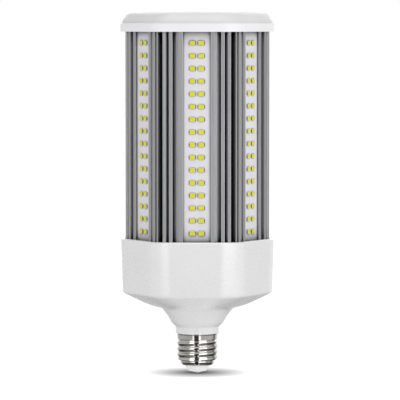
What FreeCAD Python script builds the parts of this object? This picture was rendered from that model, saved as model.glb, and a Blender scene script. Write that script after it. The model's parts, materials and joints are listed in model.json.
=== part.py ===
import FreeCAD, Part
import math
import os
import re

import Sketcher
from FreeCAD import Placement, Rotation, Vector

# A six-sided corn LED bulb with a screw base, standing upright on the tip of its centre contact.
# Z is the bulb's own axis, the origin is the lowest point of the contact, and one LED strip faces -Y.

os.makedirs("parts", exist_ok=True)
doc = FreeCAD.newDocument("corn_bulb")

# Driving sizes, in millimetres unless the name says otherwise
SIZES = {
    "contact_radius": 3.0,
    "contact_tip_radius": 1.8,
    "contact_rim_height": 0.85,
    "contact_drop": 1.7,
    "stem_radius": 1.5,
    "stem_length": 8.0,
    "stem_clearance": 0.2,
    "insulator_foot_radius": 5.6,
    "insulator_rim_radius": 8.5,
    "insulator_rise": 3.9,
    "insulator_plug_radius": 7.3,
    "insulator_plug_rise": 3.0,
    "plug_clearance": 0.2,
    "shell_wall": 0.5,
    "shell_mouth_radius": 8.3,
    "shell_roll_radius": 10.3,
    "shell_roll_height": 1.85,
    "shell_taper_rise": 3.8,
    "shell_length": 20.4,
    "skirt_length": 4.1,
    "skirt_radius": 12.4,
    "shell_lip_radius": 13.2,
    "shell_lip_height": 0.6,
    "thread_radius": 13.02,
    "thread_depth": 0.75,
    "thread_pitch": 3.629,
    "thread_start": 3.4,
    "thread_root_bite": 0.4,
    "thread_crest_width": 2.5,
    "thread_crest_flat": 1.0,
    "thread_root_step": 0.08,
    "thread_crest_drop": 0.11,
    "thread_turns": 2.9,
    "collar_radius": 13.9,
    "collar_height": 3.9,
    "neck_waist_radius": 14.4,
    "neck_waist_rise": 0.6,
    "neck_rise": 12.1,
    "neck_shoulder_radius": 20.3,
    "neck_shoulder_drop": 2.7,
    "neck_top_apothem": 23.2,
    "neck_top_round": 22.7,
    "spigot_length": 11.0,
    "spigot_clearance": 0.25,
    "spigot_wall": 1.8,
    "underside_flat_rise": 2.1,
    "underside_flat_inset": 14.3,
    "underside_flat_round": 20.0,
    "underside_rise": 7.8,
    "housing_edge_inset": 0.8,
    "housing_rim_overhang": 4.1,
    "housing_round": 19.0,
    "housing_height": 34.6,
    "housing_wall": 2.4,
    "room_floor_inset": 1.4,
    "room_edge_rise": 1.4,
    "bore_shoulder_rise": 1.2,
    "housing_edge_round": 1.8,
    "housing_rim_round": 0.5,
    "rib_width": 3.0,
    "rib_depth": 5.0,
    "sink_seat_depth": 7.0,
    "sink_length": 140.8,
    "sink_seat_clearance": 0.4,
    "sink_seat_round": 5.0,
    "core_wall": 3.0,
    "core_clearance": 1.7,
    "corner_slot_width": 3.4,
    "fin_thickness": 1.6,
    "bar_inset": 15.2,
    "bar_thickness": 2.3,
    "bar_height": 3.3,
    "valley_drop": 0.7,
    "valley_ledge_rise": 1.9,
    "valley_ledge_width": 1.2,
    "rail_height": 3.1,
    "rail_wall": 1.1,
    "rail_overhang": 1.5,
    "hollow_inset": 3.4,
    "hollow_width": 10.6,
    "hollow_rise": 0.2,
    "hollow_depth": 3.8,
    "port_radius": 1.3,
    "port_rise": 3.28,
    "board_width": 20.4,
    "board_thickness": 1.6,
    "board_side_clearance": 0.15,
    "board_face_clearance": 0.15,
    "board_end_gap": 0.5,
    "seat_thickness": 6.78,
    "chip_width": 3.5,
    "chip_height": 2.8,
    "chip_thickness": 0.7,
    "chip_spacing": 5.5,
    "chip_pitch": 7.94,
    "chip_rows": 16,
    "first_chip_height": 12.5,
    "plate_thickness": 2.0,
    "plate_clearance": 0.4,
    "plate_wire_radius": 8.0,
    "ring_overhang": 4.4,
    "ring_round": 19.0,
    "ring_drop": 2.1,
    "ring_lip": 1.2,
    "ring_lip_inset": 3.0,
    "ring_lip_round": 14.0,
    "ring_edge_round": 0.5,
    "cover_step": 1.1,
    "cover_round": 18.6,
    "cover_wall": 1.8,
    "cover_side_height": 1.4,
    "cover_shoulder_height": 4.8,
    "cover_shoulder_inset": 4.0,
    "cover_crown_height": 1.1,
    "cover_crown_inset": 24.0,
    "cover_crown_round": 9.3,
    "cover_spigot_depth": 0.9,
    "cover_spigot_wall": 0.9,
    "cover_spigot_clearance": 0.3,
    "top_board_clearance": 1.6,
    "top_board_thickness": 1.6,
    "top_chip_inset": 8.0,
    "top_chip_count": 12,
    "screw_radius": 1.1,
    "screw_length": 8.0,
    "screw_head_radius": 2.2,
    "screw_head_height": 1.8,
    "screw_hole_radius": 1.6,
    "screw_count": 3,
    "flange_margin": 2.2,
    "flange_thickness": 2.0,
    "sleeve_wall": 1.2,
    "sleeve_drop": 22.0,
    "sleeve_rise": 66.0,
    "sleeve_floor": 1.5,
    "sleeve_wire_radius": 7.5,
    "driver_width": 44.0,
    "driver_height": 84.0,
    "driver_thickness": 1.6,
    "driver_offset": 7.0,
    "driver_clearance": 1.0,
    "fuse_radius": 4.2,
    "fuse_depth": 7.7,
    "fuse_inset": 7.0,
    "fuse_up": 7.0,
    "choke_radius": 8.6,
    "choke_hole_radius": 3.2,
    "choke_depth": 8.0,
    "choke_edge": 1.6,
    "choke_across": 10.0,
    "choke_up": 11.0,
    "film_width": 14.0,
    "film_height": 9.0,
    "film_depth": 15.0,
    "film_inset": 9.0,
    "film_up": 22.0,
    "bridge_width": 14.0,
    "bridge_height": 4.0,
    "bridge_depth": 11.0,
    "bridge_inset": 8.0,
    "bridge_up": 26.0,
    "input_can_radius": 8.0,
    "input_can_depth": 24.0,
    "input_can_across": 0.0,
    "input_can_up": 37.5,
    "output_can_radius": 6.0,
    "output_can_depth": 20.0,
    "output_can_spacing": 18.0,
    "output_can_up": 76.0,
    "can_bead_height": 2.5,
    "can_bead_depth": 0.5,
    "switch_width": 4.5,
    "switch_height": 10.0,
    "switch_depth": 16.0,
    "switch_inset": 5.0,
    "switch_up": 39.0,
    "core_frame_width": 28.0,
    "core_frame_depth": 18.0,
    "core_frame_height": 10.0,
    "core_leg_width": 8.0,
    "core_yoke_depth": 3.0,
    "core_side_width": 4.0,
    "transformer_across": 0.0,
    "transformer_up": 57.0,
    "winding_build": 5.4,
    "winding_clearance": 0.3,
    "lead_radius": 0.8,
    "lead_stand": 3.2,
    "lead_exit_bend": 2.0,
    "lead_bend": 9.0,
    "mains_solder_up": 4.0,
    "live_turn_height": 36.0,
    "live_drop_height": 20.0,
    "neutral_across": -4.2,
    "neutral_turn_height": 40.0,
    "neutral_drop_height": 24.0,
    "neutral_swing": 1.0,
    "neutral_stand": 3.6,
    "neutral_bend": 3.5,
    "lamp_lead_across": 1.6,
    "lamp_lead_up": 71.0,
    "lamp_turn_height": 150.0,
    "lamp_rise_height": 180.0,
    "lamp_lead_swing": 0.5,
}

sheet = doc.addObject("Spreadsheet::Sheet", "dims")
for row, (alias, size) in enumerate(SIZES.items(), start=1):
    sheet.set("A%d" % row, alias.replace("_", " "))
    sheet.set("B%d" % row, str(size))
    sheet.setAlias("B%d" % row, alias)
doc.recompute()

# Heights along the axis, each one standing on the one below
SHELL_FOOT = "contact_drop + insulator_rise"
COLLAR_FOOT = SHELL_FOOT + " + shell_length"
NECK_TOP = "collar_height + neck_rise"
UNDERSIDE_FLAT = NECK_TOP + " + underside_flat_rise"
HOUSING_EDGE = UNDERSIDE_FLAT + " + underside_rise"
HOUSING_RIM = HOUSING_EDGE + " + housing_height"
SINK_FOOT = COLLAR_FOOT + " + " + HOUSING_RIM + " - sink_seat_depth"
SINK_TOP = SINK_FOOT + " + sink_length"
PLATE_TOP = SINK_TOP + " + plate_thickness"
RING_TOP = PLATE_TOP + " + ring_lip"
FLANGE_FOOT = SINK_FOOT + " - flange_thickness"
SLEEVE_FOOT = FLANGE_FOOT + " - sleeve_drop"
DRIVER_FOOT = SLEEVE_FOOT + " + sleeve_floor"
BOARD_SLOT = "(board_width / 2 + board_side_clearance)"

# Outwards from the driver board: its far corners set the sleeve, the sleeve the core, the core the rest
DRIVER_REACH = "sqrt((driver_width / 2) ^ 2 + (driver_offset + driver_thickness) ^ 2)"
SLEEVE_INSIDE = "(" + DRIVER_REACH + " + driver_clearance)"
SLEEVE_RADIUS = "(" + SLEEVE_INSIDE + " + sleeve_wall)"
CORE_INSIDE = "(" + SLEEVE_RADIUS + " + core_clearance)"
CORE_APOTHEM = "(" + CORE_INSIDE + " + core_wall)"
PORT_APOTHEM = "(" + CORE_APOTHEM + " + port_rise)"
BOARD_SEAT = "(" + CORE_APOTHEM + " + seat_thickness)"
BOARD_SURFACE = "(" + BOARD_SEAT + " + board_thickness)"
SINK_APOTHEM = "(" + BOARD_SEAT + " + bar_height)"
RIM_APOTHEM = "(" + SINK_APOTHEM + " + housing_rim_overhang)"
EDGE_APOTHEM = "(" + RIM_APOTHEM + " - housing_edge_inset)"
FLAT_APOTHEM = "(" + EDGE_APOTHEM + " - underside_flat_inset)"
RING_APOTHEM = "(" + SINK_APOTHEM + " + ring_overhang)"
LIP_APOTHEM = "(" + SINK_APOTHEM + " - ring_lip_inset)"
COVER_APOTHEM = "(" + RING_APOTHEM + " - cover_step)"
TOP_BOARD_RADIUS = "(" + PORT_APOTHEM + " - screw_head_radius - top_board_clearance)"
TOP_CHIP_CIRCLE = "(" + TOP_BOARD_RADIUS + " - top_chip_inset)"
FLANGE_RADIUS = "(" + PORT_APOTHEM + " + flange_margin)"

SIDES = 6
SIDE_ANGLE = 360 / SIDES
pieces = []


def expression(text):
    """A formula with each size name pointed at its cell."""
    return re.sub(r"[a-z]+(?:_[a-z]+)+", lambda word: "dims." + word.group(), text)


def number(text):
    """What a formula over the sizes comes to now."""
    return float(sheet.evalExpression(expression(text)))


def new_body(label, foot="0", turn=0):
    """A sub-part standing at a height, turned about the bulb's axis."""
    body = doc.addObject("PartDesign::Body", label)
    body.Label = label
    body.Placement = Placement(Vector(0, 0, number(foot)), Rotation(Vector(0, 0, 1), turn))
    body.setExpression("Placement.Base.z", expression(foot))
    pieces.append(body)
    return body


def origin_part(body, role):
    """One plane or axis of a body's own origin."""
    return [part for part in body.Origin.OriginFeatures if part.Role == role][0]


def new_sketch(body, name, role="XY_Plane", height="0"):
    """A sketch on a plane of its own body, moved out by a height."""
    sketch = body.newObject("Sketcher::SketchObject", name)
    sketch.AttachmentSupport = [(origin_part(body, role), "")]
    sketch.MapMode = "FlatFace"
    sketch.setExpression("AttachmentOffset.Base.z", expression(height))
    return sketch


def hold(sketch, kind, text, *where):
    """A dimension of a sketch that follows a formula."""
    index = sketch.addConstraint(Sketcher.Constraint(kind, *where, number(text)))
    sketch.setExpression("Constraints[%d]" % index, expression(text))


def hold_point(sketch, curve, end, across, up):
    """One end of a curve, held at two distances from the sketch's origin."""
    hold(sketch, "DistanceX", across, -1, 1, curve, end)
    hold(sketch, "DistanceY", up, -1, 1, curve, end)


def draw_outline(sketch, corners):
    """A closed outline of straight lines through corners given as formulas."""
    spots = [Vector(number(across), number(up), 0) for across, up in corners]
    first = sketch.GeometryCount
    count = len(corners)
    for index in range(count):
        sketch.addGeometry(Part.LineSegment(spots[index], spots[(index + 1) % count]))
    for index, (across, up) in enumerate(corners):
        hold_point(sketch, first + index, 1, across, up)
        following = first + (index + 1) % count
        sketch.addConstraint(Sketcher.Constraint("Coincident", first + index, 2, following, 1))


def draw_rectangle(sketch, left, right, low, high):
    """An upright rectangle between four formulas."""
    draw_outline(sketch, [(left, low), (right, low), (right, high), (left, high)])


def draw_circle(sketch, radius, across="0", up="0"):
    """A circle held at its centre and radius."""
    centre = Vector(number(across), number(up), 0)
    curve = sketch.addGeometry(Part.Circle(centre, Vector(0, 0, 1), number(radius)))
    hold_point(sketch, curve, 3, across, up)
    hold(sketch, "Radius", radius, curve)


def draw_hexagon(sketch, apothem):
    """A hexagon with a flat towards -Y and a corner on the X axis."""
    corner = "(%s) / cos(30) * %s(%d)"
    draw_outline(sketch, [(corner % (apothem, "cos", 60 * side), corner % (apothem, "sin", 60 * side))
                          for side in range(SIDES)])


def draw_round_hexagon(sketch, apothem, rounding):
    """A hexagon whose corners are arcs, drawn as six flats and the six arcs between them."""
    first = sketch.GeometryCount
    ends = []
    for side in range(SIDES):
        turn = SIDE_ANGLE * side - 90
        for sign in ("-", ""):
            along = "%s((%s) - (%s)) * tan(30)" % (sign, apothem, rounding)
            across = "(%s) * cos(%g) - (%s) * sin(%g)" % (apothem, turn, along, turn)
            up = "(%s) * sin(%g) + (%s) * cos(%g)" % (apothem, turn, along, turn)
            ends.append((across, up))
    spots = [Vector(number(across), number(up), 0) for across, up in ends]
    for side in range(SIDES):
        sketch.addGeometry(Part.LineSegment(spots[2 * side], spots[2 * side + 1]))
        hold_point(sketch, first + 2 * side, 1, *ends[2 * side])
        hold_point(sketch, first + 2 * side, 2, *ends[2 * side + 1])
        reach = number("((%s) - (%s)) / cos(30) + (%s)" % (apothem, rounding, rounding))
        middle = Rotation(Vector(0, 0, 1), SIDE_ANGLE * (side - 1)).multVec(Vector(reach, 0, 0))
        arc = Part.Arc(spots[2 * side + 1], middle, spots[(2 * side + 2) % len(spots)])
        sketch.addGeometry(arc)
    for side in range(SIDES):
        flat = first + 2 * side
        following = first + (2 * side + 2) % (2 * SIDES)
        sketch.addConstraint(Sketcher.Constraint("Coincident", flat + 1, 1, flat, 2))
        sketch.addConstraint(Sketcher.Constraint("Coincident", flat + 1, 2, following, 1))
        hold(sketch, "Radius", rounding, flat + 1)


def set_tip(body, feature, kind):
    """Rebuild, check that a feature changed its body, and make it the last one."""
    doc.recompute()
    if feature.Shape.isNull() or not feature.Shape.isValid():
        raise ValueError("%s of %s has no valid shape" % (kind, body.Label))
    body.Tip = feature
    return feature


def pad(body, sketch, length, name="pad"):
    """Extrude a sketch along its normal."""
    feature = body.newObject("PartDesign::Pad", name)
    feature.Profile = sketch
    feature.Length = number(length)
    feature.setExpression("Length", expression(length))
    return set_tip(body, feature, "pad")


def pocket(body, sketch, length=None, name="pocket"):
    """Cut a sketch upwards into the body, right through where no length is given."""
    before = body.Tip.Shape.Volume
    feature = body.newObject("PartDesign::Pocket", name)
    feature.Profile = sketch
    feature.Reversed = True
    if length is None:
        feature.Type = "ThroughAll"
    else:
        feature.Length = number(length)
        feature.setExpression("Length", expression(length))
    set_tip(body, feature, "pocket")
    if feature.Shape.Volume >= before:
        raise ValueError("%s of %s cuts nothing" % (name, body.Label))
    return feature


def loft(body, lower, upper, cutting=False, name="loft"):
    """Straight walls between two outlines, added to the body or cut from it."""
    kind = "PartDesign::SubtractiveLoft" if cutting else "PartDesign::AdditiveLoft"
    feature = body.newObject(kind, name)
    feature.Profile = lower
    feature.Sections = [upper]
    feature.Ruled = True
    return set_tip(body, feature, "loft")


def revolve(body, sketch, cutting=False, name="turned"):
    """Turn an outline about the body's own Z axis."""
    feature = body.newObject("PartDesign::Groove" if cutting else "PartDesign::Revolution", name)
    feature.Profile = sketch
    feature.ReferenceAxis = (origin_part(body, "Z_Axis"), [""])
    feature.Angle = 360
    return set_tip(body, feature, "revolution")


def repeat_round(body, features, count, name="around"):
    """Copies of features turned evenly about Z."""
    feature = body.newObject("PartDesign::PolarPattern", name)
    feature.Originals = features
    feature.Axis = (origin_part(body, "Z_Axis"), [""])
    feature.Angle = 360
    feature.Occurrences = count
    return set_tip(body, feature, "pattern")


def turned_body(label, foot, corners):
    """A body turned from one closed outline of radius and height."""
    body = new_body(label, foot)
    sketch = new_sketch(body, "section", "XZ_Plane")
    draw_outline(sketch, corners)
    revolve(body, sketch)
    return body


def hexagon_slab(body, apothem, rounding, height, length, name):
    """A straight block with a rounded hexagonal plan."""
    sketch = new_sketch(body, name + "_plan", height=height)
    draw_round_hexagon(sketch, apothem, rounding)
    return pad(body, sketch, length, name)


def hexagon_loft(body, lower, upper, cutting=False, name="wall"):
    """A tapering block between two rounded hexagons, each an apothem, a rounding and a height."""
    plans = []
    for place, (apothem, rounding, height) in zip(("foot", "head"), (lower, upper)):
        sketch = new_sketch(body, "%s_%s" % (name, place), height=height)
        draw_round_hexagon(sketch, apothem, rounding)
        plans.append(sketch)
    return loft(body, plans[0], plans[1], cutting, name)


def edges_at(shape, height, least_radius):
    """Names of the edges that lie flat at a height, outside a radius."""
    names = []
    for index, edge in enumerate(shape.Edges, start=1):
        flat = edge.BoundBox.ZLength < 1e-6 and abs(edge.BoundBox.ZMin - height) < 1e-6
        middle = edge.valueAt((edge.FirstParameter + edge.LastParameter) / 2)
        if flat and Vector(middle.x, middle.y, 0).Length > least_radius:
            names.append("Edge%d" % index)
    return names


def round_edges(body, heights, least_radius, radius, name="rounding"):
    """Fillet the level edges at some heights that lie outside a radius."""
    base = body.Tip
    names = []
    for height in heights:
        names += edges_at(base.Shape, number(height), number(least_radius))
    feature = body.newObject("PartDesign::Fillet", name)
    feature.Base = (base, names)
    feature.Radius = number(radius)
    feature.setExpression("Radius", expression(radius))
    return set_tip(body, feature, "fillet")


# Screw base

def make_contact():
    """The centre contact: a rivet with a crowned head."""
    turned_body("center_contact", "0", [
        ("0", "0"),
        ("contact_tip_radius", "0"),
        ("contact_radius", "contact_rim_height"),
        ("contact_radius", "contact_drop"),
        ("stem_radius", "contact_drop"),
        ("stem_radius", "contact_drop + stem_length"),
        ("0", "contact_drop + stem_length"),
    ])


def make_insulator():
    """The white cone that keeps the contact away from the shell."""
    turned_body("base_insulator", "contact_drop", [
        ("stem_radius + stem_clearance", "0"),
        ("insulator_foot_radius", "0"),
        ("insulator_rim_radius", "insulator_rise"),
        ("insulator_plug_radius", "insulator_rise"),
        ("insulator_plug_radius", "insulator_rise + insulator_plug_rise"),
        ("stem_radius + stem_clearance", "insulator_rise + insulator_plug_rise"),
    ])


def make_shell():
    """The rolled screw shell: a thin turned wall with a helical ridge."""
    root = "thread_radius - thread_depth"
    mouth = "insulator_plug_radius + plug_clearance"
    skirt_foot = "shell_length - skirt_length"
    lip_foot = "shell_length - shell_lip_height"
    body = turned_body("screw_shell", SHELL_FOOT, [
        (mouth, "0"),
        ("shell_mouth_radius", "0"),
        ("shell_roll_radius", "shell_roll_height"),
        (root, "shell_taper_rise"),
        (root, skirt_foot),
        ("skirt_radius", skirt_foot),
        ("skirt_radius", lip_foot),
        ("shell_lip_radius", lip_foot),
        ("shell_lip_radius", "shell_length"),
        (root + " - shell_wall", "shell_length"),
        (root + " - shell_wall", "shell_taper_rise"),
        (mouth, "shell_wall"),
    ])
    ridge = new_sketch(body, "ridge", "XZ_Plane")
    foot = "thread_start"
    middle = foot + " + thread_crest_width / 2"
    head = foot + " + thread_crest_width"
    draw_outline(ridge, [
        (root + " - thread_root_bite", foot),
        (root + " + thread_root_step", foot),
        ("thread_radius - thread_crest_drop", middle + " - thread_crest_flat / 2"),
        ("thread_radius", middle),
        ("thread_radius - thread_crest_drop", middle + " + thread_crest_flat / 2"),
        (root + " + thread_root_step", head),
        (root + " - thread_root_bite", head),
    ])
    thread = body.newObject("PartDesign::AdditiveHelix", "thread")
    thread.Profile = ridge
    thread.ReferenceAxis = (origin_part(body, "Z_Axis"), [""])
    thread.Mode = "pitch-turns-angle"
    thread.setExpression("Pitch", expression("thread_pitch"))
    thread.setExpression("Turns", expression("thread_turns"))
    set_tip(body, thread, "thread")


# Lower housing

def make_housing():
    """The white housing: hexagonal cup, sloping underside, funnel neck and the spigot in the shell."""
    body = new_body("lower_housing", COLLAR_FOOT)
    neck_top = ("neck_top_apothem", "neck_top_round", NECK_TOP)
    flat = (FLAT_APOTHEM, "underside_flat_round", UNDERSIDE_FLAT)
    edge = (EDGE_APOTHEM, "housing_round", HOUSING_EDGE)
    rim = (RIM_APOTHEM, "housing_round", HOUSING_RIM)
    hexagon_loft(body, edge, rim, name="side")
    hexagon_loft(body, flat, edge, name="underside")
    hexagon_loft(body, neck_top, flat, name="underside_flat")
    round_edges(body, (HOUSING_EDGE,), "neck_shoulder_radius", "housing_edge_round", "edge_round")
    round_edges(body, (HOUSING_RIM,), "neck_shoulder_radius", "housing_rim_round", "rim_round")
    spigot = "thread_radius - thread_depth - shell_wall - spigot_clearance"
    neck = new_sketch(body, "neck_section", "XZ_Plane")
    draw_outline(neck, [
        ("0", "-spigot_length"),
        (spigot, "-spigot_length"),
        (spigot, "0"),
        ("collar_radius", "0"),
        ("collar_radius", "collar_height"),
        ("neck_waist_radius", "collar_height + neck_waist_rise"),
        ("neck_shoulder_radius", NECK_TOP + " - neck_shoulder_drop"),
        ("neck_top_round", NECK_TOP),
        ("0", NECK_TOP),
    ])
    revolve(body, neck, name="neck")
    hollow_housing(body, spigot)
    add_ribs(body)


def hollow_housing(body, spigot):
    """The room inside, one wall in from the outside, and the seat for the heat sink."""
    inner_flat = (FLAT_APOTHEM + " - room_floor_inset", "underside_flat_round",
                  UNDERSIDE_FLAT + " + housing_wall")
    inner_edge = (EDGE_APOTHEM + " - housing_wall", "housing_round - housing_wall",
                  HOUSING_EDGE + " + room_edge_rise")
    seat_height = HOUSING_RIM + " - sink_seat_depth"
    inner_top = (EDGE_APOTHEM + " - housing_wall", "housing_round - housing_wall", seat_height)
    hexagon_loft(body, inner_edge, inner_top, True, "room")
    hexagon_loft(body, inner_flat, inner_edge, True, "room_floor")
    seat = new_sketch(body, "seat_plan", height=seat_height)
    draw_round_hexagon(seat, SINK_APOTHEM + " + sink_seat_clearance", "sink_seat_round")
    pocket(body, seat, "sink_seat_depth", "seat")
    bore = new_sketch(body, "bore_section", "XZ_Plane")
    draw_outline(bore, [
        ("0", "-spigot_length"),
        (spigot + " - spigot_wall", "-spigot_length"),
        (spigot + " - spigot_wall", "collar_height"),
        ("neck_shoulder_radius - housing_wall", NECK_TOP + " - neck_shoulder_drop + bore_shoulder_rise"),
        ("neck_shoulder_radius - housing_wall", UNDERSIDE_FLAT + " + housing_wall"),
        ("0", UNDERSIDE_FLAT + " + housing_wall"),
    ])
    revolve(body, bore, True, "bore")


def add_ribs(body):
    """Six upright ribs inside the cup that carry the heat sink."""
    seat_height = HOUSING_RIM + " - sink_seat_depth"
    wall = "(" + EDGE_APOTHEM + " - housing_wall)"
    rib = new_sketch(body, "rib_plan", height=HOUSING_EDGE)
    draw_rectangle(rib, "-rib_width / 2", "rib_width / 2",
                   "-%s - housing_wall / 2" % wall, "-%s + rib_depth" % wall)
    feature = pad(body, rib, "(%s) - (%s)" % (seat_height, HOUSING_EDGE), "rib")
    repeat_round(body, [feature], SIDES, "ribs")


# Finned heat sink

def make_heat_sink():
    """The extruded body: a hexagonal core with a strip seat on each side and fins at each corner."""
    body = new_body("heat_sink", SINK_FOOT)
    core = new_sketch(body, "core_plan")
    draw_hexagon(core, CORE_APOTHEM)
    pad(body, core, "sink_length", "core")
    add_seats(body)
    add_fins(body)
    cut_channels(body)
    bore = new_sketch(body, "core_bore_plan")
    draw_hexagon(bore, CORE_INSIDE)
    pocket(body, bore, name="core_bore")
    lighten_seats(body)


def add_seats(body):
    """A thick seat on each side with a rail along both edges, a sloping valley and a bar beyond each rail."""
    rail = "(%s + rail_wall)" % BOARD_SLOT
    root = "-%s + core_wall / 2" % CORE_APOTHEM
    ledge = "(%s + valley_ledge_width)" % rail
    bar = "(bar_inset + bar_thickness)"
    valley = "-%s + valley_drop" % BOARD_SEAT
    step = "-%s - valley_ledge_rise" % BOARD_SEAT
    crest = "-%s - rail_height" % BOARD_SEAT
    seat = new_sketch(body, "seat_plan")
    draw_outline(seat, [
        ("-" + bar, root),
        ("-" + bar, "-" + SINK_APOTHEM),
        ("-bar_inset", "-" + SINK_APOTHEM),
        ("-bar_inset", valley),
        ("-" + ledge, step),
        ("-" + rail, step),
        ("-" + rail, crest),
        (rail, crest),
        (rail, step),
        (ledge, step),
        ("bar_inset", valley),
        ("bar_inset", "-" + SINK_APOTHEM),
        (bar, "-" + SINK_APOTHEM),
        (bar, root),
    ])
    seat_pad = pad(body, seat, "sink_length", "seat")
    repeat_round(body, [seat_pad], SIDES, "seats")


def add_fins(body):
    """A fin on each side of each corner slot, all trimmed to the hexagon."""
    fins = new_sketch(body, "fins_plan")
    near = "corner_slot_width / 2"
    far = near + " + fin_thickness"
    reach = SINK_APOTHEM + " / cos(30) + fin_thickness"
    root = CORE_APOTHEM + " / cos(30) - core_wall"
    draw_rectangle(fins, root, reach, near, far)
    draw_rectangle(fins, root, reach, "-(%s)" % far, "-(%s)" % near)
    fins_pad = pad(body, fins, "sink_length", "fins")
    repeat_round(body, [fins_pad], SIDES, "fin_pairs")
    trim = new_sketch(body, "trim_plan")
    draw_circle(trim, "2 * " + SINK_APOTHEM)
    draw_hexagon(trim, SINK_APOTHEM)
    pocket(body, trim, name="trim")


def cut_channels(body):
    """The channel between the rails that a strip slides into, under their lips."""
    channel = new_sketch(body, "channel_plan")
    mouth = "board_width / 2 - rail_overhang"
    floor = "-" + BOARD_SEAT
    ledge = "-%s - board_face_clearance" % BOARD_SURFACE
    draw_outline(channel, [
        ("-(%s)" % BOARD_SLOT, floor),
        ("-(%s)" % BOARD_SLOT, ledge),
        ("-(%s)" % mouth, ledge),
        ("-(%s)" % mouth, "-" + SINK_APOTHEM),
        (mouth, "-" + SINK_APOTHEM),
        (mouth, ledge),
        (BOARD_SLOT, ledge),
        (BOARD_SLOT, floor),
    ])
    channel_cut = pocket(body, channel, name="channel")
    repeat_round(body, [channel_cut], SIDES, "channels")


def lighten_seats(body):
    """A screw port in the middle of each seat and a long hollow on each side of it."""
    port = new_sketch(body, "port_plan")
    draw_circle(port, "port_radius", "0", "-" + PORT_APOTHEM)
    port_cut = pocket(body, port, name="port")
    hollows = new_sketch(body, "hollows_plan")
    floor = "-%s - hollow_rise" % CORE_APOTHEM
    for sign in ("-", ""):
        draw_rectangle(hollows, sign + "hollow_inset", sign + "(hollow_inset + hollow_width)",
                       floor + " - hollow_depth", floor)
    hollows_cut = pocket(body, hollows, name="hollows")
    repeat_round(body, [port_cut, hollows_cut], SIDES, "ports_and_hollows")


def make_boards():
    """Six LED boards in the rails and the LED chips that stand on each."""
    for side in range(SIDES):
        turn = SIDE_ANGLE * side
        board = new_body("led_board_%d" % (side + 1), SINK_FOOT + " + board_end_gap", turn)
        plan = new_sketch(board, "board_plan")
        draw_rectangle(plan, "-board_width / 2", "board_width / 2",
                       "-" + BOARD_SURFACE, "-" + BOARD_SEAT)
        pad(board, plan, "sink_length - 2 * board_end_gap", "board")

        chips = new_body("led_chips_%d" % (side + 1), SINK_FOOT + " + first_chip_height", turn)
        pair = new_sketch(chips, "chip_plan", height="-chip_height / 2")
        for sign in ("-", ""):
            draw_rectangle(pair, sign + "chip_spacing / 2 - chip_width / 2",
                           sign + "chip_spacing / 2 + chip_width / 2",
                           "-%s - chip_thickness" % BOARD_SURFACE, "-" + BOARD_SURFACE)
        first = pad(chips, pair, "chip_height", "chip_pair")
        rows = chips.newObject("PartDesign::LinearPattern", "chip_rows")
        rows.Originals = [first]
        rows.Direction = (origin_part(chips, "Z_Axis"), [""])
        rows.Occurrences = int(number("chip_rows"))
        rows.setExpression("Length", expression("chip_pitch * (chip_rows - 1)"))
        set_tip(chips, rows, "pattern")


# Top end

def make_top_plate():
    """The end plate on the heat sink, with a hole for the leads and one for each screw."""
    body = new_body("top_plate", SINK_TOP)
    edge = SINK_APOTHEM + " - plate_clearance"
    hexagon_slab(body, edge, "sink_seat_round", "0", "plate_thickness", "plate")
    hole = new_sketch(body, "wire_hole_plan")
    draw_circle(hole, "plate_wire_radius")
    pocket(body, hole, name="wire_hole")
    drill_screw_holes(body)


def drill_screw_holes(body):
    """Clearance holes over every other screw port."""
    hole = new_sketch(body, "screw_hole_plan")
    draw_circle(hole, "screw_hole_radius", "0", "-" + PORT_APOTHEM)
    cut = pocket(body, hole, name="screw_hole")
    repeat_round(body, [cut], int(number("screw_count")), "screw_holes")


def make_ring():
    """The white ring that caps the heat sink and carries the cover."""
    body = new_body("top_ring", SINK_TOP + " - ring_drop")
    height = "ring_drop + plate_thickness + ring_lip"
    hexagon_slab(body, RING_APOTHEM, "ring_round", "0", height, "ring")
    round_edges(body, ("0", height), RING_APOTHEM + " - ring_edge_round", "ring_edge_round")
    seat = new_sketch(body, "seat_plan")
    draw_round_hexagon(seat, SINK_APOTHEM + " + sink_seat_clearance", "sink_seat_round")
    pocket(body, seat, "ring_drop + plate_thickness", "seat")
    hole = new_sketch(body, "hole_plan")
    draw_round_hexagon(hole, LIP_APOTHEM, "ring_lip_round")
    pocket(body, hole, name="hole")


def make_cover():
    """The frosted cover: short upright side, sloping shoulder and a slightly crowned top."""
    body = new_body("top_cover", RING_TOP)
    shoulder = "cover_side_height + cover_shoulder_height"
    top = shoulder + " + cover_crown_height"
    foot = (COVER_APOTHEM, "cover_round", "0")
    waist = (COVER_APOTHEM, "cover_round", "cover_side_height")
    brow = (COVER_APOTHEM + " - cover_shoulder_inset", "cover_round - cover_shoulder_inset", shoulder)
    crown = (COVER_APOTHEM + " - cover_crown_inset", "cover_crown_round", top)
    hexagon_loft(body, foot, waist, name="side")
    hexagon_loft(body, waist, brow, name="shoulder")
    hexagon_loft(body, brow, crown, name="crown")
    spigot = LIP_APOTHEM + " - cover_spigot_clearance"
    hexagon_slab(body, spigot, "ring_lip_round - cover_spigot_clearance",
                 "-cover_spigot_depth", "cover_spigot_depth", "spigot")
    inner = spigot + " - cover_spigot_wall"
    inner_round = "ring_lip_round - cover_spigot_clearance - cover_spigot_wall"
    spigot_foot = (inner, inner_round, "-cover_spigot_depth")
    spigot_head = (inner, inner_round, "cover_side_height")
    hexagon_loft(body, spigot_foot, spigot_head, True, "room")
    room_foot = (COVER_APOTHEM + " - cover_wall", "cover_round - cover_wall", "cover_side_height")
    room_head = (COVER_APOTHEM + " - cover_shoulder_inset - cover_wall",
                 "cover_round - cover_shoulder_inset - cover_wall", shoulder + " - cover_wall")
    hexagon_loft(body, room_foot, room_head, True, "room_top")


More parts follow.
